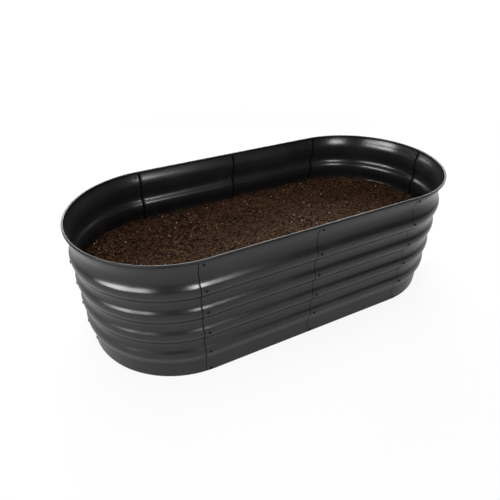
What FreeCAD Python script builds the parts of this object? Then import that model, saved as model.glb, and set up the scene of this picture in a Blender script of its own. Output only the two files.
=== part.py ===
import FreeCAD, Part
import math
import os
import Sketcher

# Raised garden bed: an oval ring of eight ribbed sheet-steel panels, lapped and bolted at eight
# seams, with a soft edging strip on the rim, a cross tie between the long sides and a soil fill.
# The origin is on the ground under the middle of the bed, +X runs along its length.

os.makedirs("parts", exist_ok=True)
doc = FreeCAD.newDocument("RaisedGardenBed")
Vector = FreeCAD.Vector

# Driving dimensions, in millimetres. Radii and widths are to the outer face of the flat bands.
SIZES = [
    ("half_width", 305, "centre line to the outer face of the long sides, and the end radius"),
    ("end_centre", 364, "middle of the bed to the centre of each round end"),
    ("wall_height", 424, "ground to the top edge of the panels"),
    ("sheet_thickness", 0.8, "steel sheet"),
    ("rib_count", 4, "ribs up the wall"),
    ("rib_crest", 23, "height of a rib's flat crest"),
    ("rib_slope", 14, "height of each sloping flank of a rib"),
    ("rib_depth", 10, "how far a rib stands out"),
    ("bottom_band", 66.5, "flat band under the lowest rib"),
    ("top_band", 72.5, "flat band over the highest rib"),
    ("lap_length", 28, "overlap of two panels at a seam"),
    ("lap_gap", 0.15, "room between the two sheets of a lap, on a rib's flank"),
    ("joggle_length", 3, "length of the step that takes the inner sheet behind the outer one"),
    ("foot_row", 9, "lowest bolt above the ground"),
    ("rim_row", 17, "highest bolt below the top edge"),
    ("bolt_head_radius", 4.6, "bolt head, over its corners"),
    ("bolt_head_height", 2.2, "bolt head"),
    ("bolt_neck", 4.8, "side of the square neck"),
    ("bolt_length", 10, "bolt under its head"),
    ("hole_clearance", 0.25, "room round the neck in its hole, on each side"),
    ("nut_radius", 4.6, "nut, over its corners"),
    ("nut_height", 4, "nut"),
    ("nut_seat", 0.05, "room between a flat nut and the curved sheet behind it"),
    ("edging_wall", 3.2, "each leg of the edging strip"),
    ("edging_leg", 9, "how far the edging reaches down the wall"),
    ("edging_crown", 3, "edging over the top edge of the panels"),
    ("edging_chamfer", 1.2, "softened top edges of the edging"),
    ("edging_room", 0.3, "room between the edging's legs and the lapped sheets"),
    ("edging_joint", 0.6, "gap where the ends of the edging meet"),
    ("edging_joint_angle", 250, "place of that joint round the left end, in degrees"),
    ("tie_row", 1, "ribs below the one that holds the cross tie"),
    ("tie_radius", 3, "cross tie rod"),
    ("tie_offset", 11, "rod beside the bolt that holds it"),
    ("tie_tab_thickness", 2, "end tab of the cross tie"),
    ("tie_tab_height", 16, "end tab of the cross tie"),
    ("tie_tab_margin", 8, "end tab beyond the bolt and beyond the rod"),
    ("fill_height", 240, "top of the soil above the ground"),
    ("fill_gap", 0.3, "room between the soil and what it surrounds"),
]

sheet = doc.addObject("Spreadsheet::Sheet", "Dims")
for row, (alias, value, note) in enumerate(SIZES, start=1):
    sheet.set(f"A{row}", alias)
    sheet.set(f"B{row}", str(value))
    sheet.set(f"C{row}", note)
    sheet.setAlias(f"B{row}", alias)
doc.recompute()

# Lengths and angles that follow from the sheet.
RIB_HEIGHT = "(Dims.rib_crest + 2 * Dims.rib_slope)"
RIB_PITCH = ("((Dims.wall_height - Dims.bottom_band - Dims.top_band - "
             + RIB_HEIGHT + ") / (Dims.rib_count - 1))")
FLANK = "sqrt(Dims.rib_depth^2 + Dims.rib_slope^2)"
BEND_SHIFT = f"(Dims.sheet_thickness * ({FLANK} - Dims.rib_slope) / Dims.rib_depth)"
LAP_STEP = f"(Dims.sheet_thickness * {FLANK} / Dims.rib_slope + Dims.lap_gap)"
LAP_STACK = f"({LAP_STEP} + Dims.sheet_thickness)"
LAP_ANGLE = "(Dims.lap_length / Dims.half_width * 180 / pi)"
JOGGLE_ANGLE = "(Dims.joggle_length / Dims.half_width * 180 / pi)"
CREST_FACE = "(Dims.half_width + Dims.rib_depth)"
TIE_HEIGHT = f"(Dims.bottom_band + {RIB_HEIGHT} / 2 + Dims.tie_row * {RIB_PITCH})"
TIE_BACK = f"({CREST_FACE} - {LAP_STACK} - Dims.nut_seat)"

HEXAGON = 6

rib_count = int(sheet.rib_count)
tie_row = int(sheet.tie_row)
nodes = []


def value_of(expression):
    return float(sheet.evalExpression(expression))


def new_body(label, turn="0", along="0"):
    """A piece with its own label, turned about the vertical axis and moved along the bed."""
    body = doc.addObject("PartDesign::Body", "Body_" + label)
    body.Label = label
    body.setExpression("Placement.Rotation.Angle", turn)
    body.setExpression("Placement.Base.x", along)
    nodes.append(body)
    return body


def new_sketch(body, name, plane, turn=None, offset=None):
    """A sketch on one of the body's own planes, turned about its upright axis or moved off it."""
    sketch = body.newObject("Sketcher::SketchObject", name)
    origin_plane = next(o for o in body.Origin.OriginFeatures if o.Role == plane)
    sketch.AttachmentSupport = [(origin_plane, "")]
    sketch.MapMode = "FlatFace"
    if turn is not None:
        upright = FreeCAD.Rotation(Vector(0, 1, 0), value_of(turn))
        sketch.AttachmentOffset = FreeCAD.Placement(Vector(), upright)
        sketch.setExpression("AttachmentOffset.Rotation.Angle", turn)
    if offset is not None:
        sketch.setExpression("AttachmentOffset.Base.z", offset)
    return sketch


def bind(sketch, places):
    """Holds points at distances from the sketch's origin, or on an axis where that is zero.
    A place is the kind of distance, the geometry, its point and the expression."""
    constraints = []
    for kind, geometry, point, expression in places:
        size = value_of(expression)
        if abs(size) < 1e-9:
            axis = -2 if kind == "DistanceX" else -1
            constraints.append(Sketcher.Constraint("PointOnObject", geometry, point, axis))
        else:
            constraints.append(Sketcher.Constraint(kind, -1, 1, geometry, point, size))
    first = sketch.ConstraintCount
    sketch.addConstraint(constraints)
    for index, (constraint, place) in enumerate(zip(constraints, places), start=first):
        if constraint.Type != "PointOnObject":
            sketch.setExpression(f"Constraints[{index}]", place[3])


def bind_radius(sketch, geometry, expression):
    index = sketch.addConstraint(Sketcher.Constraint("Radius", geometry, value_of(expression)))
    sketch.setExpression(f"Constraints[{index}]", expression)


def draw_outline(sketch, corners):
    """A closed outline of straight lines, each corner bound to its two expressions."""
    first = sketch.GeometryCount
    count = len(corners)
    spots = [Vector(value_of(across), value_of(up), 0) for across, up in corners]
    sketch.addGeometry([Part.LineSegment(spots[i], spots[(i + 1) % count]) for i in range(count)])
    sketch.addConstraint([
        Sketcher.Constraint("Coincident", first + i, 2, first + (i + 1) % count, 1)
        for i in range(count)])
    bind(sketch, [(kind, first + i, 1, expression) for i, corner in enumerate(corners)
                  for kind, expression in zip(("DistanceX", "DistanceY"), corner)])


def draw_hexagon(sketch, radius, centre_across, centre_up):
    turns = [360 * i / HEXAGON for i in range(HEXAGON)]
    draw_outline(sketch, [(f"{centre_across} + {radius} * cos({turn})",
                           f"{centre_up} + {radius} * sin({turn})") for turn in turns])


def draw_square(sketch, side, centre_across, centre_up):
    draw_outline(sketch, [(f"{centre_across} {a} {side} / 2", f"{centre_up} {b} {side} / 2")
                          for a, b in ("--", "+-", "++", "-+")])


def draw_stadium(sketch, radius):
    """Two half circles about the end centres, joined by straight lines."""
    size = value_of(radius)
    centre = value_of("Dims.end_centre")
    first = sketch.GeometryCount
    for middle, start in ((centre, -90), (-centre, 90)):
        circle = Part.Circle(Vector(middle, 0, 0), Vector(0, 0, 1), size)
        low = math.radians(start)
        sketch.addGeometry(Part.ArcOfCircle(circle, low, low + math.pi))
    sketch.addGeometry(Part.LineSegment(Vector(centre, size, 0), Vector(-centre, size, 0)))
    sketch.addGeometry(Part.LineSegment(Vector(-centre, -size, 0), Vector(centre, -size, 0)))
    right, left, back, front = range(first, first + 4)
    for ends in ((right, 2, back, 1), (back, 2, left, 1), (left, 2, front, 1), (front, 2, right, 1)):
        sketch.addConstraint(Sketcher.Constraint("Tangent", *ends))
    bind(sketch, [("DistanceX", right, 3, "Dims.end_centre"), ("DistanceY", right, 3, "0"),
                  ("DistanceX", left, 3, "-Dims.end_centre"), ("DistanceY", left, 3, "0")])
    bind_radius(sketch, right, radius)


def draw_circle(sketch, radius, across, up):
    centre = Vector(value_of(across), value_of(up), 0)
    circle = sketch.addGeometry(Part.Circle(centre, Vector(0, 0, 1), value_of(radius)))
    bind(sketch, [("DistanceX", circle, 3, across), ("DistanceY", circle, 3, up)])
    bind_radius(sketch, circle, radius)


def add_pad(body, sketch, length, inward=False, both_ways=False):
    pad = body.newObject("PartDesign::Pad", sketch.Name + "_pad")
    pad.Profile = sketch
    pad.setExpression("Length", length)
    pad.Reversed = inward
    pad.Refine = False
    pad.Midplane = both_ways
    return pad


def add_pocket(body, sketch, length=None, upward=False):
    """A pocket through everything both ways, or of one length towards one side."""
    pocket = body.newObject("PartDesign::Pocket", sketch.Name + "_pocket")
    pocket.Profile = sketch
    pocket.Refine = False
    if length is None:
        pocket.Type = "ThroughAll"
        pocket.Midplane = True
    else:
        pocket.setExpression("Length", length)
        pocket.Midplane = not upward
        pocket.Reversed = upward
    return pocket


# The ribbed wall: its section, and the straight and curved runs of it.

def rib_foot(rib):
    return f"Dims.bottom_band + {rib} * {RIB_PITCH}"


def wall_section(inset):
    """Corners of the sheet's section, up the outer face and down the inner one. Each bend of the
    inner face is shifted, so that the flanks are as thick as the bands."""
    crest = f"{CREST_FACE} - {inset}"
    band = f"Dims.half_width - {inset}"
    outer = [(band, "0")]
    inner = [(f"{band} - Dims.sheet_thickness", "0")]
    for rib in range(rib_count):
        foot = rib_foot(rib)
        bends = ((band, "0", "+"), (crest, "Dims.rib_slope", "+"),
                 (crest, "Dims.rib_slope + Dims.rib_crest", "-"), (band, RIB_HEIGHT, "-"))
        for face, rise, sign in bends:
            outer.append((face, f"{foot} + {rise}"))
            inner.append((f"{face} - Dims.sheet_thickness", f"{foot} + {rise} {sign} {BEND_SHIFT}"))
    outer.append((band, "Dims.wall_height"))
    inner.append((f"{band} - Dims.sheet_thickness", "Dims.wall_height"))
    return outer + inner[::-1]


def section_at_angle(body, name, angle, inset):
    sketch = new_sketch(body, name, "XZ_Plane", turn=angle)
    draw_outline(sketch, wall_section(inset))
    return sketch


def section_at_length(body, name, along, inset):
    sketch = new_sketch(body, name, "YZ_Plane", offset=along)
    draw_outline(sketch, wall_section(inset))
    return sketch


def curved_run(body, name, start, sweep, inset="0"):
    sketch = section_at_angle(body, name, start, inset)
    run = body.newObject("PartDesign::Revolution", name + "_run")
    run.Profile = sketch
    run.ReferenceAxis = (sketch, ["V_Axis"])
    run.setExpression("Angle", sweep)
    run.Refine = False


def straight_run(body, name, start, length, inset="0"):
    """A run towards -X from its start."""
    sketch = section_at_length(body, name, start, inset)
    add_pad(body, sketch, length, inward=True)


def joggle(body, outer_section, inner_section):
    step = body.newObject("PartDesign::AdditiveLoft", outer_section.Name + "_joggle")
    step.Profile = outer_section
    step.Sections = [inner_section]
    step.Ruled = True
    step.Refine = False


def fastener_rows(tie=False):
    """Height and outer face of each bolt in a seam, from the ground up. The row that carries
    the cross tie is told apart."""
    rows = [("Dims.foot_row", "Dims.half_width", False)]
    for rib in range(rib_count):
        rows.append((f"{rib_foot(rib)} + {RIB_HEIGHT} / 2", CREST_FACE, tie and rib == tie_row))
    rows.append(("Dims.wall_height - Dims.rim_row", "Dims.half_width", False))
    return rows


def seam_holes(body, name, angle=None, along=None):
    """Square holes for one seam, through the wall at an angle or at a length."""
    if angle is not None:
        sketch = new_sketch(body, name, "YZ_Plane", turn=angle)
        across = "0"
    else:
        sketch = new_sketch(body, name, "XZ_Plane")
        across = along
    for height, _, _ in fastener_rows():
        draw_square(sketch, "(Dims.bolt_neck + 2 * Dims.hole_clearance)", across, height)
    add_pocket(body, sketch)


def curved_panel(label, start, along):
    """A quarter of the oval's end. Its first edge lies outside the lap, and its last one is
    joggled in behind the next panel."""
    body = new_body(label, turn=start, along=along)
    wall_sweep = f"90 - {LAP_ANGLE} / 2 - {JOGGLE_ANGLE}"
    lap_start = f"90 - {LAP_ANGLE} / 2"
    curved_run(body, label + "_wall", "0", wall_sweep)
    joggle(body, section_at_angle(body, label + "_step", wall_sweep, "0"),
           section_at_angle(body, label + "_step_end", lap_start, LAP_STEP))
    curved_run(body, label + "_lap", lap_start, LAP_ANGLE, LAP_STEP)
    seam_holes(body, label + "_first_holes", angle=f"{LAP_ANGLE} / 2")
    seam_holes(body, label + "_last_holes", angle="90")


def straight_panel_from_end(label, turn, along):
    """Half of a long side that starts outside the lap on the bend and ends, joggled in, under
    the next panel at the middle of the bed."""
    body = new_body(label, turn=turn, along=along)
    flat = "Dims.end_centre - Dims.lap_length / 2 - Dims.joggle_length"
    lap_start = "Dims.lap_length / 2 - Dims.end_centre"
    curved_run(body, label + "_bend", f"90 - {LAP_ANGLE}", LAP_ANGLE)
    straight_run(body, label + "_wall", "0", flat)
    joggle(body, section_at_length(body, label + "_step", f"-({flat})", "0"),
           section_at_length(body, label + "_step_end", lap_start, LAP_STEP))
    straight_run(body, label + "_lap", lap_start, "Dims.lap_length", LAP_STEP)
    seam_holes(body, label + "_end_holes", angle=f"90 - {LAP_ANGLE} / 2")
    seam_holes(body, label + "_middle_holes", along="-Dims.end_centre")


def straight_panel_to_end(label, turn, along):
    """Half of a long side that starts outside the lap at the middle of the bed and ends,
    joggled in, under the curved panel on the bend."""
    body = new_body(label, turn=turn, along=along)
    start = "Dims.end_centre + Dims.lap_length / 2"
    straight_run(body, label + "_wall", start, f"{start} - Dims.joggle_length")
    joggle(body, section_at_length(body, label + "_step", "Dims.joggle_length", "0"),
           section_at_length(body, label + "_step_end", "0", LAP_STEP))
    curved_run(body, label + "_lap", "90", LAP_ANGLE, LAP_STEP)
    seam_holes(body, label + "_end_holes", angle=f"90 + {LAP_ANGLE} / 2")
    seam_holes(body, label + "_middle_holes", along="Dims.end_centre")


# Bolts and nuts, one group of each per seam. Their axes point out of the wall.

def seam_bolts(label, turn, along):
    body = new_body(label, turn=turn, along=along)
    for part, face in (("band", "Dims.half_width"), ("crest", CREST_FACE)):
        heads = new_sketch(body, f"{label}_{part}_heads", "YZ_Plane", offset=face)
        necks = new_sketch(body, f"{label}_{part}_necks", "YZ_Plane", offset=face)
        for height, row_face, _ in fastener_rows():
            if row_face == face:
                draw_hexagon(heads, "Dims.bolt_head_radius", "0", height)
                draw_square(necks, "Dims.bolt_neck", "0", height)
        add_pad(body, heads, "Dims.bolt_head_height")
        add_pad(body, necks, "Dims.bolt_length", inward=True)


def seam_nuts(label, turn, along, tie):
    body = new_body(label, turn=turn, along=along)
    seats = {"band": [], "crest": [], "tie": []}
    for height, face, holds_tie in fastener_rows(tie):
        part = "tie" if holds_tie else ("crest" if face == CREST_FACE else "band")
        seats[part].append(height)
    seat_faces = {"band": f"Dims.half_width - {LAP_STACK} - Dims.nut_seat",
                  "crest": TIE_BACK,
                  "tie": f"{TIE_BACK} - Dims.tie_tab_thickness - Dims.nut_seat"}
    for part, heights in seats.items():
        if not heights:
            continue
        sketch = new_sketch(body, f"{label}_{part}_nuts", "YZ_Plane", offset=seat_faces[part])
        for height in heights:
            draw_hexagon(sketch, "Dims.nut_radius", "0", height)
            draw_square(sketch, "(Dims.bolt_neck + 2 * Dims.nut_seat)", "0", height)
        add_pad(body, sketch, "Dims.nut_height", inward=True)


# The soft parts: the edging strip on the rim and the soil.

def edging_strip(label):
    """A U-section strip that grips the top edge all round, with its ends butted together."""
    body = new_body(label)
    foot = "Dims.wall_height - Dims.edging_leg"
    slot_outside = "(Dims.half_width + Dims.edging_room)"
    slot_inside = f"(Dims.half_width - {LAP_STACK} - Dims.edging_room)"
    strip = new_sketch(body, label + "_outline", "XY_Plane", offset=foot)
    draw_stadium(strip, f"{slot_outside} + Dims.edging_wall")
    draw_stadium(strip, f"{slot_inside} - Dims.edging_wall")
    solid = add_pad(body, strip, "Dims.edging_leg + Dims.edging_crown")
    doc.recompute()
    top = value_of("Dims.wall_height + Dims.edging_crown")
    top_edges = [f"Edge{i}" for i, edge in enumerate(solid.Shape.Edges, start=1)
                 if abs(edge.BoundBox.ZMin - top) < 1e-6]
    softened = body.newObject("PartDesign::Chamfer", label + "_softened")
    softened.Base = (solid, top_edges)
    softened.setExpression("Size", "Dims.edging_chamfer")
    slot = new_sketch(body, label + "_slot", "XY_Plane", offset=foot)
    draw_stadium(slot, slot_outside)
    draw_stadium(slot, slot_inside)
    add_pocket(body, slot, "Dims.edging_leg", upward=True)
    joint = new_sketch(body, label + "_joint", "XY_Plane")
    along = "cos(Dims.edging_joint_angle)"
    across = "sin(Dims.edging_joint_angle)"
    inside = f"({slot_inside} - 2 * Dims.edging_wall)"
    outside = f"({slot_outside} + 2 * Dims.edging_wall)"
    draw_outline(joint, [
        (f"{reach} * {along} - Dims.end_centre {back} Dims.edging_joint / 2 * {across}",
         f"{reach} * {across} {ahead} Dims.edging_joint / 2 * {along}")
        for reach, back, ahead in ((inside, "+", "-"), (outside, "+", "-"),
                                   (outside, "-", "+"), (inside, "-", "+"))])
    add_pocket(body, joint)


def soil_fill(label):
    """The soil inside the ring, drawn in at its foot to clear the lowest row of nuts."""
    body = new_body(label)
    foot_height = "Dims.foot_row + Dims.nut_radius + Dims.fill_gap"
    foot = new_sketch(body, label + "_foot", "XY_Plane")
    draw_stadium(foot, "Dims.half_width - Dims.bolt_length - Dims.fill_gap")
    add_pad(body, foot, foot_height)
    bed = new_sketch(body, label + "_bed", "XY_Plane", offset=foot_height)
    draw_stadium(bed, f"Dims.half_width - {LAP_STACK} - Dims.fill_gap")
    add_pad(body, bed, f"Dims.fill_height - ({foot_height})")
    bore = new_sketch(body, label + "_tie_bore", "XZ_Plane")
    draw_circle(bore, "(Dims.tie_radius + Dims.fill_gap)", "Dims.tie_offset", TIE_HEIGHT)
    add_pocket(body, bore)


def cross_tie(label):
    """A rod that holds the long sides together, welded to a bolted tab at each end."""
    body = new_body(label)
    left = "-Dims.tie_tab_margin"
    right = "Dims.tie_offset + Dims.tie_tab_margin"
    low = f"{TIE_HEIGHT} - Dims.tie_tab_height / 2"
    high = f"{TIE_HEIGHT} + Dims.tie_tab_height / 2"
    corners = [(left, low), (right, low), (right, high), (left, high)]
    inner_face = f"({TIE_BACK} - Dims.tie_tab_thickness)"
    tabs = new_sketch(body, label + "_tabs", "XZ_Plane")
    draw_outline(tabs, corners)
    draw_square(tabs, "(Dims.bolt_neck + 2 * Dims.hole_clearance)", "0", TIE_HEIGHT)
    add_pad(body, tabs, f"2 * {TIE_BACK}", both_ways=True)
    span = new_sketch(body, label + "_span", "XZ_Plane")
    draw_outline(span, corners)
    add_pocket(body, span, f"2 * {inner_face}")
    rod = new_sketch(body, label + "_rod", "XZ_Plane")
    draw_circle(rod, "Dims.tie_radius", "Dims.tie_offset", TIE_HEIGHT)
    add_pad(body, rod, f"2 * {inner_face}", both_ways=True)


# Seams, anticlockwise from above: name, direction out of the wall, place of its centre.
SEAMS = [
    ("front_middle", "270", "0"),
    ("front_right", f"270 + {LAP_ANGLE} / 2", "Dims.end_centre"),
    ("right_end", "0", "Dims.end_centre"),
    ("back_right", f"90 - {LAP_ANGLE} / 2", "Dims.end_centre"),
    ("back_middle", "90", "0"),
    ("back_left", f"90 + {LAP_ANGLE} / 2", "-Dims.end_centre"),
    ("left_end", "180", "-Dims.end_centre"),
    ("front_left", f"270 - {LAP_ANGLE} / 2", "-Dims.end_centre"),
]

straight_panel_from_end("front_left_side_panel", "180", "-Dims.end_centre")
straight_panel_to_end("front_right_side_panel", "180", "Dims.end_centre")
curved_panel("front_right_corner_panel", "-90", "Dims.end_centre")
curved_panel("back_right_corner_panel", f"-{LAP_ANGLE} / 2", "Dims.end_centre")
straight_panel_from_end("back_right_side_panel", "0", "Dims.end_centre")
straight_panel_to_end("back_left_side_panel", "0", "-Dims.end_centre")
curved_panel("back_left_corner_panel", "90", "-Dims.end_centre")
curved_panel("front_left_corner_panel", f"180 - {LAP_ANGLE} / 2", "-Dims.end_centre")
for seam, turn, along in SEAMS:
    seam_bolts(seam + "_bolts", turn, along)
    seam_nuts(seam + "_nuts", turn, along, tie="middle" in seam)
edging_strip("rim_edging")
cross_tie("cross_tie")
soil_fill("soil_fill")

doc.recompute()
faults = [o.Name for o in doc.Objects if "Invalid" in o.State or "Error" in o.State]
if faults:
    raise RuntimeError("features that failed: " + ", ".join(faults))
for body in nodes:
    if body.Shape.isNull() or not body.Shape.isValid():
        raise RuntimeError("no valid shape: " + body.Label)
for body in nodes:
    body.Shape.exportStep(f"parts/{body.Label}.step")
    box = body.Shape.BoundBox
    print(f"{body.Label}: {len(body.Shape.Solids)} solids, {body.Shape.Volume / 1000:.1f} cm3, "
          f"x {box.XMin:.1f}..{box.XMax:.1f} y {box.YMin:.1f}..{box.YMax:.1f} "
          f"z {box.ZMin:.1f}..{box.ZMax:.1f}")
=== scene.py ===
import bmesh
import bpy
import math
import random
from mathutils import Matrix, Vector, noise
from mathutils.bvhtree import BVHTree


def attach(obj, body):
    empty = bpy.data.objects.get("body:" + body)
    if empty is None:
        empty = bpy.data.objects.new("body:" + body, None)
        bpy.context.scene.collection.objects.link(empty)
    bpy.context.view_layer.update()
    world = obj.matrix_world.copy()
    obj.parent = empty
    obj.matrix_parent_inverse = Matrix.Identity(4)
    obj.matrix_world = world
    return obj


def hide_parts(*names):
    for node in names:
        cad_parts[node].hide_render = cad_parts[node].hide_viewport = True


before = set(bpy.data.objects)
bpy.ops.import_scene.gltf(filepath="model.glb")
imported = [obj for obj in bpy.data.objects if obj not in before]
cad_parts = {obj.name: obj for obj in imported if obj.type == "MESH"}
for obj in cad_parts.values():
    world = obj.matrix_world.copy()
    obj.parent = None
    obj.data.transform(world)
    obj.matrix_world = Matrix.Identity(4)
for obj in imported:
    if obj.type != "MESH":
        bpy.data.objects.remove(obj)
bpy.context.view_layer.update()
print("frame loaded,", len(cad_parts), "nodes")

# the bed's own sizes in metres, the same as the frame's
bed = {"halfWidth": 0.305, "endCentre": 0.364, "wallHeight": 0.424, "sheet": 0.0008,
       "lapStep": 0.00113, "lapLength": 0.028, "joggleLength": 0.003, "ribs": 4,
       "ribDepth": 0.010, "ribPitch": 0.078, "firstRib": 0.092, "fillHeight": 0.240}
endAt = bed["endCentre"]
lapAngle = math.degrees(bed["lapLength"] / bed["halfWidth"])
halfLap = lapAngle / 2
ribHeights = [bed["firstRib"] + k * bed["ribPitch"] for k in range(bed["ribs"])]
touching = 0.00001  # points nearer than this are one point


class Value:
    # a node's output that takes part in sums
    def __init__(self, finish, socket):
        self.finish, self.socket = finish, socket

    def math(self, operation, *terms):
        return self.finish.add("ShaderNodeMath", dict(enumerate(terms)), operation=operation)

    def __add__(self, other): return self.math("ADD", self, other)
    def __radd__(self, other): return self.math("ADD", other, self)
    def __sub__(self, other): return self.math("SUBTRACT", self, other)
    def __rsub__(self, other): return self.math("SUBTRACT", other, self)
    def __mul__(self, other): return self.math("MULTIPLY", self, other)
    def __rmul__(self, other): return self.math("MULTIPLY", other, self)


class Finish:
    # the nodes of one material, or of the world
    def __init__(self, name, world=None):
        self.owner = world or bpy.data.materials.new(name)
        self.owner.use_nodes = True
        self.tree = self.owner.node_tree
        self.tree.nodes.clear()

    def add(self, kind, sockets=None, output=0, **settings):
        node = self.tree.nodes.new(kind)
        for name, value in settings.items():
            setattr(node, name, value)
        for name, value in (sockets or {}).items():
            if isinstance(value, Value):
                self.tree.links.new(value.socket, node.inputs[name])
            else:
                node.inputs[name].default_value = value
        return Value(self, node.outputs[output] if len(node.outputs) else None)

    def place(self):
        return self.add("ShaderNodeTexCoord", output="Object")

    def noise(self, vector, scale, detail, roughness=0.5):
        return self.add("ShaderNodeTexNoise", {"Vector": vector, "Scale": scale,
                                               "Detail": detail, "Roughness": roughness})

    def cells(self, vector, scale):
        return self.add("ShaderNodeTexVoronoi", {"Vector": vector, "Scale": scale})

    def between(self, value, low, high, start=0.0, end=1.0):
        return self.add("ShaderNodeMapRange", {"Value": value, "From Min": low, "From Max": high,
                                               "To Min": start, "To Max": end},
                        interpolation_type="SMOOTHSTEP")

    def blend(self, factor, first, second):
        # a Mix node's colour sockets share their names with others, so they go by number
        return self.add("ShaderNodeMix", {0: factor, 6: first, 7: second}, 2, data_type="RGBA")

    def attribute(self, name):
        return self.add("ShaderNodeAttribute", output="Fac", attribute_name=name)

    def bump(self, height, strength, distance, below=None):
        sockets = {"Height": height, "Strength": strength, "Distance": distance}
        if below:
            sockets["Normal"] = below
        return self.add("ShaderNodeBump", sockets)

    def principled(self, colour, rough, relief, gloss=0.5, metal=0.0):
        return self.add("ShaderNodeBsdfPrincipled", {
            "Base Color": colour, "Roughness": rough, "Normal": relief,
            "Specular IOR Level": gloss, "Metallic": metal})

    def either(self, factor, first, second):
        return self.add("ShaderNodeMixShader", {0: factor, 1: first, 2: second})

    def surface(self, shader):
        self.add("ShaderNodeOutputMaterial", {"Surface": shader})
        return self.owner


def grey(level, warm=0.0):
    return (level * (1 + warm), level, level * (1 - warm), 1.0)


def clearSelection():
    for other in list(bpy.context.selected_objects):
        other.select_set(False)


def makeActive(piece):
    clearSelection()
    piece.select_set(True)
    bpy.context.view_layer.objects.active = piece


def startEdit(piece, kind="VERT"):
    makeActive(piece)
    bpy.ops.object.mode_set(mode="EDIT")
    bpy.ops.mesh.select_mode(type=kind)


def endEdit(piece, angle):
    # back out of editing, with edges sharper than the angle kept crisp
    bpy.ops.object.mode_set(mode="OBJECT")
    smooth(piece, angle)


def smooth(piece, angle):
    makeActive(piece)
    bpy.ops.object.shade_smooth_by_angle(angle=math.radians(angle))


def selectWhere(piece, kind, test):
    # kind is verts, edges or faces
    shape = bmesh.from_edit_mesh(piece.data)
    for element in getattr(shape, kind):
        element.select = bool(test(element))
    shape.select_flush_mode()
    bmesh.update_edit_mesh(piece.data)


def runEdges(x, y=0.0, z=0.0):
    bpy.ops.mesh.extrude_edges_move(TRANSFORM_OT_translate={"value": (x, y, z)})


def spinEdges(angle, stepAngle=None, centreX=0.0):
    # in steps of about stepAngle, or in a single one
    steps = max(2, round(angle / stepAngle)) if stepAngle else 1
    bpy.ops.mesh.spin(steps=steps, angle=math.radians(angle), center=(centreX, 0, 0),
                      axis=(0, 0, -1))


def finishModifier(piece, name, kind, **settings):
    makeActive(piece)
    modifier = piece.modifiers.new(name, kind)
    for key, value in settings.items():
        setattr(modifier, key, value)
    bpy.ops.object.modifier_apply(modifier=name)


def applyPlace():
    bpy.ops.object.transform_apply(location=True, rotation=True, scale=True)


def drawLine(name, points):
    # one vertex, then the line is extruded from it corner by corner
    clearSelection()
    bpy.ops.mesh.primitive_plane_add(size=0.01, location=(0, 0, 0))
    piece = bpy.context.object
    piece.name = name
    startEdit(piece)
    bpy.ops.mesh.select_all(action="SELECT")
    bpy.ops.mesh.merge(type="CENTER")
    bpy.ops.transform.translate(value=points[0])
    for before, after in zip(points, points[1:]):
        step = tuple(b - a for a, b in zip(before, after))
        bpy.ops.mesh.extrude_vertices_move(TRANSFORM_OT_translate={"value": step})
    return piece


def copyOf(piece, name, turn, move, lean=0.0):
    twin = piece.copy()
    twin.data = piece.data.copy()
    twin.data.transform(Matrix.Rotation(math.radians(lean), 4, "Y"))
    twin.name = name
    bpy.context.collection.objects.link(twin)
    twin.rotation_euler = (0, 0, math.radians(turn))
    twin.location = move
    makeActive(twin)
    applyPlace()
    return twin


def joinAs(parts, name):
    makeActive(parts[0])
    for part in parts:
        part.select_set(True)
    bpy.ops.object.join()
    parts[0].name = name
    return parts[0]


def removePieces(pieces):
    for piece in pieces:
        bpy.data.objects.remove(piece, do_unlink=True)


def dress(piece, material, slot, *nodes):
    piece.data.materials.clear()
    piece.data.materials.append(material)
    if nodes:
        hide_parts(*nodes)
    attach(piece, "root")


# the camera of the photograph, in degrees and millimetres
shot = {"place": (-0.7045, -1.1465, 1.0373), "yaw": 27.122, "pitch": 38.547, "roll": -0.468,
        "lens": 30.48, "sensor": 36, "shift": (0.02, 0.08)}
aim = (Matrix.Rotation(-math.radians(shot["yaw"]), 4, "Z")
       @ Matrix.Rotation(math.radians(90 - shot["pitch"]), 4, "X")
       @ Matrix.Rotation(math.radians(shot["roll"]), 4, "Z"))
bpy.ops.object.camera_add(location=shot["place"], rotation=aim.to_euler())
camera = bpy.context.object
camera.data.lens = shot["lens"]
camera.data.sensor_width = shot["sensor"]
camera.data.shift_x, camera.data.shift_y = shot["shift"]
bpy.context.scene.camera = camera
print("camera placed")


# wall panels: seamShade is the strip on each side of a lap's step in which the painted dark shade
# fades, stepShare how near the step's end it starts, plainEdge the foot and the rim without bends
wall = {"crest": 0.018, "slope": 0.019, "bendRadius": 0.031, "bendSteps": 8, "stepAngle": 1.5,
        "seamShade": 0.007, "stepShare": 0.3, "plainEdge": 0.01, "crispFrom": 40,
        # the top of the sheet opens out towards the edging: how far out, and how high
        "flare": [(-0.0044, 0.376), (-0.0024, 0.392), (0.0062, 0.419), (0.0062, 0.424)],
        "flareLean": 17.7}


def wallSection():
    # how far out, and how high
    lines = [(0.0, 0.0)]
    near, far = wall["crest"] / 2, wall["crest"] / 2 + wall["slope"]
    for middle in ribHeights:
        lines += [(0.0, middle - far), (bed["ribDepth"], middle - near),
                  (bed["ribDepth"], middle + near), (0.0, middle + far)]
    return lines + wall["flare"]


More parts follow.
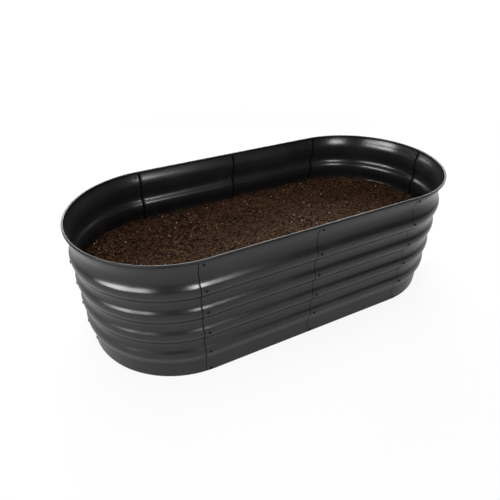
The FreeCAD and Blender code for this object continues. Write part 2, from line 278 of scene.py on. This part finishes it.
def sectionAt(name, angle):
    # the sheet's section at an angle round the end, its corners bent to a radius
    across, along = math.cos(math.radians(angle)), math.sin(math.radians(angle))
    reach, edge = bed["halfWidth"], wall["plainEdge"]
    piece = drawLine(name, [((reach + out) * across, (reach + out) * along, height)
                            for out, height in wallSection()])
    bend = math.atan2(bed["ribDepth"], wall["slope"])
    selectWhere(piece, "verts", lambda vert: edge < vert.co.z < bed["wallHeight"] - edge)
    bpy.ops.mesh.bevel(offset=wall["bendRadius"] * math.tan(bend / 2), segments=wall["bendSteps"],
                       affect="VERTICES", offset_type="OFFSET")
    bpy.ops.mesh.select_mode(type="EDGE")
    bpy.ops.mesh.select_all(action="SELECT")
    return piece


def faceOutwards(piece):
    # an open sheet's normals are made to agree and then to point away from the bed
    bpy.ops.mesh.select_all(action="SELECT")
    bpy.ops.mesh.remove_doubles(threshold=touching)
    bpy.ops.mesh.normals_make_consistent(inside=False)
    outward = 0.0
    for face in bmesh.from_edit_mesh(piece.data).faces:
        middle = face.calc_center_median()
        outward += face.normal.dot(Vector((max(middle.x, 0), middle.y, 0)))
    if outward < 0:
        bpy.ops.mesh.flip_normals()


def closeSheet(piece, fromStep):
    # the sheet gets its thickness, and the step at the lap is marked for the painted shade there
    faceOutwards(piece)
    bpy.ops.object.mode_set(mode="OBJECT")
    finishModifier(piece, "sheet", "SOLIDIFY", thickness=bed["sheet"], offset=-1,
                   use_even_offset=True)
    near = bed["joggleLength"] * wall["stepShare"]
    shade = piece.data.attributes.new("seam", "FLOAT", "POINT")
    for vert in piece.data.vertices:
        shade.data[vert.index].value = float(abs(fromStep(vert.co)) < near)
    smooth(piece, wall["crispFrom"])
    return piece


def modelCurvedPanel():
    joggle = math.degrees(bed["joggleLength"] / bed["halfWidth"])
    margin = math.degrees(wall["seamShade"] / bed["halfWidth"])
    lapStart = 90 - halfLap
    stepAt = math.radians(lapStart)
    piece = sectionAt("curvedPanel", 0)
    spinEdges(lapStart - joggle - margin, wall["stepAngle"])
    spinEdges(margin)
    # the step in behind the next panel
    spinEdges(joggle)
    bpy.ops.transform.translate(value=(-bed["lapStep"] * math.cos(stepAt),
                                       -bed["lapStep"] * math.sin(stepAt), 0))
    spinEdges(lapAngle, wall["stepAngle"])
    return closeSheet(piece, lambda co: (math.atan2(co.y, co.x) - stepAt) * bed["halfWidth"])


def runToStep(reach):
    # straight along the side up to the step, and then over it
    runEdges(-(reach - bed["joggleLength"] - wall["seamShade"]))
    runEdges(-wall["seamShade"])
    runEdges(-bed["joggleLength"], -bed["lapStep"])


def modelPanelFromEnd():
    reach = endAt - bed["lapLength"] / 2
    piece = sectionAt("panelFromEnd", 90 - lapAngle)
    spinEdges(lapAngle, wall["stepAngle"])
    runToStep(reach)
    runEdges(-wall["seamShade"])
    runEdges(-(bed["lapLength"] - wall["seamShade"]))
    return closeSheet(piece, lambda co: co.x + reach)


def modelPanelToEnd():
    # drawn at the tangent, then moved along to where its first edge is
    reach = endAt + bed["lapLength"] / 2
    piece = sectionAt("panelToEnd", 90)
    bpy.ops.transform.translate(value=(reach, 0, 0))
    runToStep(reach)
    spinEdges(lapAngle, wall["stepAngle"])
    return closeSheet(piece, lambda co: co.x)


curvedPanel = modelCurvedPanel()
panelFromEnd = modelPanelFromEnd()
panelToEnd = modelPanelToEnd()

# what each panel is a copy of, its turn and where along the bed
panelPlaces = [
    (panelFromEnd, "front_left_side", 180, -endAt),
    (panelToEnd, "front_right_side", 180, endAt),
    (curvedPanel, "front_right_corner", -90, endAt),
    (curvedPanel, "back_right_corner", -halfLap, endAt),
    (panelFromEnd, "back_right_side", 0, endAt),
    (panelToEnd, "back_left_side", 0, -endAt),
    (curvedPanel, "back_left_corner", 90, -endAt),
    (curvedPanel, "front_left_corner", 180 - halfLap, -endAt),
]
panels = [copyOf(pattern, name, turn, (x, 0, 0)) for pattern, name, turn, x in panelPlaces]
removePieces([curvedPanel, panelFromEnd, panelToEnd])
print("panels modelled,", sum(len(piece.data.polygons) for piece in panels), "faces")


# edging strip: a U over the sheet's top edge, with its ends butted together at the joint
edging = {"outer": 0.3137, "inner": 0.3070, "foot": 0.4185, "top": 0.427, "slotOuter": 0.3115,
          "slotInner": 0.3090, "slotTop": 0.424, "jointAngle": 250, "joint": 0.0006,
          "topRound": 0.0026, "topSteps": 4, "footRound": 0.0007, "footSteps": 2,
          "stepAngle": 2.0, "crispFrom": 40}
edgingOutline = [("inner", "foot"), ("inner", "top"), ("outer", "top"), ("outer", "foot"),
                 ("slotOuter", "foot"), ("slotOuter", "slotTop"), ("slotInner", "slotTop"),
                 ("slotInner", "foot")]


def modelEdging():
    start = edging["jointAngle"] + math.degrees(edging["joint"] / 2 / bed["halfWidth"])
    turn = math.radians(start)
    spots = [(edging[reach] * math.cos(turn) - endAt, edging[reach] * math.sin(turn),
              edging[height]) for reach, height in edgingOutline]
    piece = drawLine("rim_strip", spots)
    ends = Vector(spots[0]), Vector(spots[-1])
    selectWhere(piece, "verts", lambda vert: min((vert.co - e).length for e in ends) < touching)
    bpy.ops.mesh.edge_face_add()
    selectWhere(piece, "verts", lambda vert: vert.co.z > edging["top"] - touching)
    bpy.ops.mesh.bevel(offset=edging["topRound"], segments=edging["topSteps"], affect="VERTICES")
    selectWhere(piece, "verts", lambda vert: vert.co.z < edging["foot"] + touching)
    bpy.ops.mesh.bevel(offset=edging["footRound"], segments=edging["footSteps"],
                       affect="VERTICES")
    bpy.ops.mesh.select_mode(type="EDGE")
    bpy.ops.mesh.select_all(action="SELECT")
    # once round, from the joint back to the joint
    toFront = 270 - start
    toJoint = 360 - toFront - 180 - 2 * (start - edging["jointAngle"])
    spinEdges(toFront, edging["stepAngle"], -endAt)
    runEdges(2 * endAt)
    spinEdges(180, edging["stepAngle"], endAt)
    runEdges(-2 * endAt)
    spinEdges(toJoint, edging["stepAngle"], -endAt)
    bpy.ops.mesh.edge_face_add()
    # the other cut end
    selectWhere(piece, "edges", lambda edge: edge.is_boundary)
    bpy.ops.mesh.edge_face_add()
    bpy.ops.mesh.select_all(action="SELECT")
    bpy.ops.mesh.remove_doubles(threshold=touching)
    bpy.ops.mesh.normals_make_consistent(inside=False)
    endEdit(piece, edging["crispFrom"])
    return piece


rimStrip = modelEdging()
print("edging modelled")


# bolts and nuts: the lowest row stands on the plain foot, the top one on the flare
bolt = {"radius": 0.0045, "height": 0.0019, "sides": 24, "dome": 0.55, "domeSteps": 4,
        "socketInset": 0.30, "socketDepth": 0.0011, "neck": 0.0024, "length": 0.010,
        "lowRow": 0.009, "topRowDown": 0.017, "topRowOut": 0.0024, "crispFrom": 40}
nut = {"radius": 0.0046, "height": 0.004, "sides": 6, "corner": 0.0005, "cornerSteps": 2,
       "boreInset": 0.0014, "boreDepth": 0.0015, "crispFrom": 30}


def addPrism(name, sizes, sign):
    # it stands on the origin, its axis along X, and is opened for editing
    clearSelection()
    bpy.ops.mesh.primitive_cylinder_add(
        vertices=sizes["sides"], radius=sizes["radius"], depth=sizes["height"],
        location=(sign * sizes["height"] / 2, 0, 0), rotation=(0, math.radians(90), 0))
    piece = bpy.context.object
    piece.name = name
    applyPlace()
    startEdit(piece, "FACE")
    return piece


def selectFacing(piece, sign, least=0.99):
    selectWhere(piece, "faces", lambda face: face.normal.x * sign > least)


def pushFace(piece, sign, inset, push):
    # the flat face that looks that way is inset, and what is left of it is moved along X
    selectFacing(piece, sign)
    bpy.ops.mesh.inset(thickness=inset)
    bpy.ops.mesh.extrude_region_move(TRANSFORM_OT_translate={"value": (push, 0, 0)})


def modelBolt():
    # a low domed head with a round socket, and its neck behind it, its axis along +X
    piece = addPrism("bolt", bolt, 1)
    selectFacing(piece, 1, 0.9)
    bpy.ops.mesh.bevel(offset=bolt["height"] * bolt["dome"], segments=bolt["domeSteps"],
                       affect="EDGES")
    pushFace(piece, 1, bolt["radius"] * bolt["socketInset"], -bolt["socketDepth"])
    pushFace(piece, -1, bolt["radius"] - bolt["neck"], -bolt["length"])
    endEdit(piece, bolt["crispFrom"])
    return piece


def modelNut():
    # a hexagon nut with its outer edges turned down, its axis along -X
    piece = addPrism("nut", nut, -1)
    selectFacing(piece, -1, 0.9)
    bpy.ops.mesh.bevel(offset=nut["corner"], segments=nut["cornerSteps"], affect="EDGES")
    pushFace(piece, -1, nut["boreInset"], nut["boreDepth"])
    endEdit(piece, nut["crispFrom"])
    return piece


boltPattern, nutPattern = modelBolt(), modelNut()
# each seam's direction, and the centre along the bed that it is measured from
seams = {"front_middle": (270, 0.0), "front_right": (270 + halfLap, endAt),
         "right_end": (0, endAt), "back_right": (90 - halfLap, endAt), "back_middle": (90, 0.0),
         "back_left": (90 + halfLap, -endAt), "left_end": (180, -endAt),
         "front_left": (270 - halfLap, -endAt)}
# each row's height, how far out it is and its lean
rows = [(bolt["lowRow"], 0.0, 0)]
rows += [(height, bed["ribDepth"], 0) for height in ribHeights]
rows += [(bed["wallHeight"] - bolt["topRowDown"], bolt["topRowOut"], wall["flareLean"])]


def seamOf(pattern, name, direction, along, depth):
    turn = math.radians(direction)
    copies = []
    for height, out, lean in rows:
        reach = bed["halfWidth"] + out - depth
        spot = (along + reach * math.cos(turn), reach * math.sin(turn), height)
        copies.append(copyOf(pattern, name, direction, spot, lean))
    return joinAs(copies, name)


heads, backs = [], []
lapStack = bed["lapStep"] + bed["sheet"]
for seam, (direction, along) in seams.items():
    heads.append((seam, seamOf(boltPattern, seam + "_bolt_set", direction, along, 0.0)))
    backs.append((seam, seamOf(nutPattern, seam + "_nut_set", direction, along, lapStack)))
removePieces([boltPattern, nutPattern])
print("bolts and nuts placed")


# soil: relief is each wave's name, size and height; below its edge the body steps in to the
# shoulder and goes down from there
soil = {"reach": 0.3118, "corners": 120, "cell": 0.036, "cellShift": 0.37, "splits": 3,
        "relief": [("swell", 0.16, 0.007), ("lump", 0.022, 0.004), ("grain", 0.009, 0.0022)],
        "waveDetail": 2, "edgeHeight": 0.2376, "edgeSlope": 1.9, "edgeDrop": 0.02,
        "shoulderHeight": 0.21, "shoulderShare": (0.975, 0.945, 0), "bodyDrop": 0.2095,
        "crispFrom": 60}


def pastEnd(x, y):
    # the distance from the line between the two end centres
    return math.hypot(max(abs(x) - endAt, 0.0), y)


def modelSoil():
    clearSelection()
    bpy.ops.mesh.primitive_circle_add(vertices=soil["corners"], radius=soil["reach"],
                                      fill_type="NGON", location=(0, 0, bed["fillHeight"]))
    piece = bpy.context.object
    piece.name = "soil_bed"
    applyPlace()
    startEdit(piece)
    for side in (1, -1):
        selectWhere(piece, "verts", lambda vert: vert.co.x * side > touching)
        bpy.ops.transform.translate(value=(side * endAt, 0, 0))
    for axis, reach in (((1, 0, 0), endAt + soil["reach"]), ((0, 1, 0), soil["reach"])):
        count = int(reach / soil["cell"])
        for k in range(-count, count + 1):
            place = (k + soil["cellShift"]) * soil["cell"]
            bpy.ops.mesh.select_all(action="SELECT")
            bpy.ops.mesh.bisect(plane_co=tuple(place * a for a in axis), plane_no=axis)
    bpy.ops.object.mode_set(mode="OBJECT")
    finishModifier(piece, "cells", "SUBSURF", subdivision_type="SIMPLE", levels=soil["splits"],
                   render_levels=soil["splits"])
    for name, size, height in soil["relief"]:
        pattern = bpy.data.textures.new(name, "CLOUDS")
        pattern.noise_scale = size
        pattern.noise_depth = soil["waveDetail"]
        finishModifier(piece, name, "DISPLACE", texture=pattern, texture_coords="LOCAL",
                       direction="Z", strength=height * 2, mid_level=0.5)
    # the soil banks up where it meets the rib, so that its edge stays inside the sheet
    for vert in piece.data.vertices:
        inward = soil["reach"] - pastEnd(vert.co.x, vert.co.y)
        vert.co.z = max(vert.co.z, soil["edgeHeight"] - soil["edgeSlope"] * inward)
    startEdit(piece, "EDGE")
    selectWhere(piece, "edges", lambda edge: edge.is_boundary)
    runEdges(0, 0, -soil["edgeDrop"])
    bpy.ops.transform.resize(value=soil["shoulderShare"], orient_type="GLOBAL",
                             center_override=(0, 0, soil["shoulderHeight"]))
    runEdges(0, 0, -soil["bodyDrop"])
    bpy.ops.mesh.edge_face_add()
    bpy.ops.mesh.select_all(action="SELECT")
    bpy.ops.mesh.normals_make_consistent(inside=False)
    endEdit(piece, soil["crispFrom"])
    return piece


soilBed = modelSoil()
print("soil modelled,", len(soilBed.data.polygons), "faces")


# loose crumbs and pale specks: field is where they are drawn, width, squeeze, turn and tilt
# how each is shaped and laid; rise is how high one stands, as a share of its size
grain = {"patterns": 4, "splits": 2, "seedStep": 3.7, "seedSlant": 2.0, "waves": 1.1,
         "lumpy": 0.75, "crispFrom": 50, "seed": 7, "field": (0.68, 0.315), "margin": 0.006,
         "above": 0.5, "width": (0.7, 1), "squeeze": (0.6, 1.0), "turn": (0, 6.28),
         "tilt": (-0.6, 0.6)}
loose = {"soil_crumbs": {"count": 1500, "rise": 0.15, "sizes": (0.0012, 0.0042)},
         "soil_specks": {"count": 150, "rise": 0.5, "sizes": (0.0009, 0.0020)}}


def modelGrain(seed):
    # a small ball with its points pushed in and out
    clearSelection()
    bpy.ops.mesh.primitive_ico_sphere_add(subdivisions=grain["splits"], radius=1.0)
    piece = bpy.context.object
    piece.name = "crumb"
    for vert in piece.data.vertices:
        push = noise.noise(vert.co * grain["waves"] + Vector((seed, seed * grain["seedSlant"], 0)))
        vert.co *= 1 + grain["lumpy"] * push
    smooth(piece, grain["crispFrom"])
    return piece


def scatter(name, patterns, surface, draw):
    parts = []
    fieldX, fieldY = grain["field"]
    while len(parts) < loose[name]["count"]:
        x, y = draw.uniform(-fieldX, fieldX), draw.uniform(-fieldY, fieldY)
        size = draw.uniform(*loose[name]["sizes"])
        if pastEnd(x, y) >= soil["reach"] - grain["margin"]:
            continue
        spot = surface.ray_cast(Vector((x, y, grain["above"])), Vector((0, 0, -1)))[0]
        pattern = patterns[draw.randrange(len(patterns))]
        part = pattern.copy()
        part.data = pattern.data.copy()
        bpy.context.collection.objects.link(part)
        squeeze = draw.uniform(*grain["squeeze"])
        laid = Matrix.Rotation(draw.uniform(*grain["turn"]), 4, "Z")
        laid = laid @ Matrix.Rotation(draw.uniform(*grain["tilt"]), 4, "X")
        shaped = Matrix.Diagonal((size, size * draw.uniform(*grain["width"]), size * squeeze, 1))
        spot = spot + Vector((0, 0, size * loose[name]["rise"]))
        part.data.transform(Matrix.Translation(spot) @ laid @ shaped)
        parts.append(part)
    return joinAs(parts, name)


draw = random.Random(grain["seed"])
soilSurface = BVHTree.FromObject(soilBed, bpy.context.evaluated_depsgraph_get())
grainPatterns = [modelGrain(k * grain["seedStep"]) for k in range(grain["patterns"])]
crumbs = scatter("soil_crumbs", grainPatterns, soilSurface, draw)
specks = scatter("soil_specks", grainPatterns, soilSurface, draw)
removePieces(grainPatterns)
print("crumbs and specks scattered")


# finishes: cloud, fine, peel, broad and clods are a noise's scale, detail and now and then its
# roughness, a relief is a bump's strength and distance, and from is where colours pass over
paint = {"dark": (0.0100, 0.0103, 0.0110, 1.0), "dusty": (0.019, 0.0185, 0.0175, 1.0),
         "cloud": (9.0, 3.0), "fine": (420.0, 2.0), "peel": (900.0, 1.0), "from": (0.45, 0.75),
         "dust": 0.5, "roughness": 0.24, "cloudy": 0.10, "grainy": 0.05, "gloss": 0.50,
         "peelRelief": (0.08, 0.0004), "fineRelief": (0.05, 0.0006),
         # the last three are the painted shade in the gap under each lap: its two colours and
         # where on the seam mark it sets in
         "paintedGapShadeDark": grey(0.002), "paintedGapShadeLight": grey(0.006), "paintedGapShadeFrom": (0.1, 0.5)}
strip = {"dark": grey(0.005), "light": grey(0.010, 0.02), "cloud": (14.0, 3.0),
         "fine": (700.0, 2.0), "from": (0.4, 0.75), "roughness": 0.28, "cloudy": 0.10,
         "gloss": 0.32, "relief": (0.15, 0.0003)}
head = {"dark": grey(0.003), "light": grey(0.008), "fine": (900.0, 2.0), "from": (0.5, 0.8),
        "roughness": 0.5, "grainy": 0.15, "gloss": 0.2, "relief": (0.1, 0.0002)}
zinc = {"light": grey(0.08), "dull": grey(0.045, 0.02), "spangle": 380.0, "cloud": (60.0, 3.0),
        "from": (0.35, 0.7), "roughness": 0.42, "spangled": 0.18, "cloudy": 0.1,
        "relief": (0.15, 0.0003)}
compost = {"dark": (0.003, 0.0016, 0.0009), "brown": (0.074, 0.036, 0.0178),
           "pale": (0.210, 0.120, 0.066), "broad": (11.0, 3.0), "clods": (118.0, 4.0, 0.7),
           "grains": 420.0, "brownFrom": (0.41, 0.61), "paleFrom": (0.64, 0.78),
           "clodShare": 0.8, "broadShare": 0.3, "roughness": 0.82, "cloudy": 0.15,
           "gloss": 0.06, "grainRelief": (0.6, 0.0012), "clodRelief": (0.9, 0.003),
           "crumbLift": 1.25}
speck = {"light": grey(0.75, 0.02), "dull": grey(0.40, 0.06), "fine": (700.0, 3.0),
           "from": (0.35, 0.75), "roughness": 0.85, "grainy": 0.1, "relief": (0.5, 0.0006)}


def wallPaint():
    finish = Finish("wallPaint")
    place = finish.place()
    cloud = finish.noise(place, *paint["cloud"])
    fine = finish.noise(place, *paint["fine"])
    peel = finish.noise(place, *paint["peel"])
    dust = finish.between(cloud, *paint["from"]) * paint["dust"]
    colour = finish.blend(dust, paint["dark"], paint["dusty"])
    rough = paint["roughness"] + (cloud - 0.5) * paint["cloudy"] + (fine - 0.5) * paint["grainy"]
    relief = finish.bump(peel, *paint["peelRelief"], finish.bump(fine, *paint["fineRelief"]))
    coat = finish.principled(colour, rough, relief, paint["gloss"])
    # painted shade: a near-black diffuse, barely varied, stands in for the shadow in the narrow
    # gap under each lap
    shade = finish.blend(fine, paint["paintedGapShadeDark"], paint["paintedGapShadeLight"])
    paintedGapShade = finish.add("ShaderNodeBsdfDiffuse", {"Color": shade})
    inPaintedGapShade = finish.between(finish.attribute("seam"), *paint["paintedGapShadeFrom"])
    return finish.surface(finish.either(inPaintedGapShade, coat, paintedGapShade))


def softEdging():
    finish = Finish("softEdging")
    place = finish.place()
    cloud = finish.noise(place, *strip["cloud"])
    fine = finish.noise(place, *strip["fine"])
    colour = finish.blend(finish.between(cloud, *strip["from"]), strip["dark"], strip["light"])
    rough = strip["roughness"] + cloud * strip["cloudy"]
    relief = finish.bump(fine, *strip["relief"])
    return finish.surface(finish.principled(colour, rough, relief, strip["gloss"]))


def boltFinish():
    finish = Finish("boltFinish")
    fine = finish.noise(finish.place(), *head["fine"])
    colour = finish.blend(finish.between(fine, *head["from"]), head["dark"], head["light"])
    rough = head["roughness"] + fine * head["grainy"]
    relief = finish.bump(fine, *head["relief"])
    return finish.surface(finish.principled(colour, rough, relief, head["gloss"]))


def zincFinish():
    finish = Finish("zincFinish")
    place = finish.place()
    spangle = finish.cells(place, zinc["spangle"])
    cloud = finish.noise(place, *zinc["cloud"])
    colour = finish.blend(finish.between(cloud, *zinc["from"]), zinc["light"], zinc["dull"])
    rough = zinc["roughness"] + spangle * zinc["spangled"] + cloud * zinc["cloudy"]
    relief = finish.bump(cloud, *zinc["relief"])
    return finish.surface(finish.principled(colour, rough, relief, metal=1.0))


def soilFinish(name, lift=1.0):
    finish = Finish(name)
    place = finish.place()
    broad = finish.noise(place, *compost["broad"])
    clods = finish.noise(place, *compost["clods"])
    grains = finish.cells(place, compost["grains"])
    dark, brown, pale = (tuple(part * lift for part in compost[tone]) + (1.0,)
                         for tone in ("dark", "brown", "pale"))
    mixed = clods * compost["clodShare"] + broad * compost["broadShare"]
    colour = finish.blend(finish.between(clods, *compost["brownFrom"]), dark, brown)
    colour = finish.blend(finish.between(mixed, *compost["paleFrom"]), colour, pale)
    rough = compost["roughness"] + broad * compost["cloudy"]
    relief = finish.bump(clods, *compost["clodRelief"])
    relief = finish.bump(grains, *compost["grainRelief"], relief)
    return finish.surface(finish.principled(colour, rough, relief, compost["gloss"]))


def speckFinish():
    finish = Finish("speckFinish")
    fine = finish.noise(finish.place(), *speck["fine"])
    patches = finish.between(fine, *speck["from"])
    colour = finish.blend(patches, speck["light"], speck["dull"])
    rough = speck["roughness"] + fine * speck["grainy"]
    relief = finish.bump(fine, *speck["relief"])
    return finish.surface(finish.principled(colour, rough, relief))


paintFinish, stripFinish, headFinish, nutFinish = (
    wallPaint(), softEdging(), boltFinish(), zincFinish())
for piece in panels:
    dress(piece, paintFinish, "wall_paint", piece.name + "_panel")
dress(rimStrip, stripFinish, "edging", "rim_edging")
for seam, piece in heads:
    dress(piece, headFinish, "bolt_heads", seam + "_bolts")
for seam, piece in backs:
    dress(piece, nutFinish, "zinc_nuts", seam + "_nuts")
dress(soilBed, soilFinish("soilFinish"), "soil", "soil_fill")
dress(crumbs, soilFinish("crumbFinish", compost["crumbLift"]), "soil")
dress(specks, speckFinish(), "soil")
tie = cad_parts["cross_tie"]
tie.data.materials.clear()
tie.data.materials.append(nutFinish)
print("finishes given")


# stage: near and far are the shares of white close to the bed and further out, mirrored how
# much of it the bed's paint sees, room and backdrop the white round the scene for the lights
# and for the camera
stage = {"floor": 60.0, "paper": 0.50, "near": 0.80, "far": 1.0, "from": (1.0, 4.0),
         "mirrored": 0.28, "glow": 1.10, "room": 0.09, "backdrop": 1.0}
white = (1, 1, 1, 1)


def floorFinish():
    # the floor takes the bed's shadow, and shows white where nothing shades it
    finish = Finish("floorFinish")
    seen = finish.add("ShaderNodeLightPath", output="Is Camera Ray")
    mirrored = finish.add("ShaderNodeLightPath", output="Is Glossy Ray")
    away = finish.add("ShaderNodeVectorMath", {0: finish.place()}, "Value", operation="LENGTH")
    plain = finish.add("ShaderNodeBsdfDiffuse", {"Color": grey(stage["paper"])})
    glow = finish.add("ShaderNodeEmission", {"Color": white, "Strength": stage["glow"]})
    whiteness = finish.between(away, *stage["from"], stage["near"], stage["far"])
    share = (seen + mirrored * stage["mirrored"]) * whiteness
    return finish.surface(finish.either(share, plain, glow))


clearSelection()
bpy.ops.mesh.primitive_plane_add(size=stage["floor"], location=(0, 0, 0))
floor = bpy.context.object
floor.name = "floor"
floor.data.materials.append(floorFinish())

lamps = [
    # name, place, size, power, spread, turned to
    ("top", (-0.1, 0.3, 3.2), (2.4, 1.8), 48, 180, (0, 0, 0.2)),
    ("front", (-0.10, -2.54, 1.05), (0.86, 0.54), 6.6, 80, (-0.33, -0.3, 0.33)),
    ("left", (-2.93, -0.44, 0.78), (1.47, 0.65), 10.2, 80, (-0.6, -0.15, 0.33)),
    ("leftFront", (-2.52, -1.53, 1.00), (0.93, 0.59), 5.0, 80, (-0.5, -0.25, 0.33)),
    ("behind", (1.04, 1.95, 1.65), (2.65, 0.75), 42, 120, (0, -0.1, 0.43)),
    ("backLeft", (-0.68, 2.02, 1.0), (1.0, 1.1), 10, 100, (0.62, -0.05, 0.36)),
    ("right", (2.7, 0.5, 1.75), (1.2, 0.8), 9, 90, (-0.55, 0.1, 0.33)),
]


def addLamp(name, place, size, power, spread, target):
    clearSelection()
    bpy.ops.object.light_add(type="AREA", location=place)
    lamp = bpy.context.object
    lamp.name = name
    lamp.data.shape = "RECTANGLE"
    lamp.data.size, lamp.data.size_y = size
    lamp.data.energy = power
    lamp.data.spread = math.radians(spread)
    towards = Vector(target) - Vector(place)
    lamp.rotation_euler = towards.to_track_quat("-Z", "Y").to_euler()


for entry in lamps:
    addLamp(*entry)

world = bpy.data.worlds.new("studio")
bpy.context.scene.world = world
sky = Finish("studio", world)
room = sky.add("ShaderNodeBackground", {"Color": white, "Strength": stage["room"]})
backdrop = sky.add("ShaderNodeBackground", {"Color": white, "Strength": stage["backdrop"]})
seen = sky.add("ShaderNodeLightPath", output="Is Camera Ray")
sky.add("ShaderNodeOutputWorld", {"Surface": sky.either(seen, room, backdrop)})

bpy.context.scene.view_settings.view_transform = "Standard"
print("stage set")
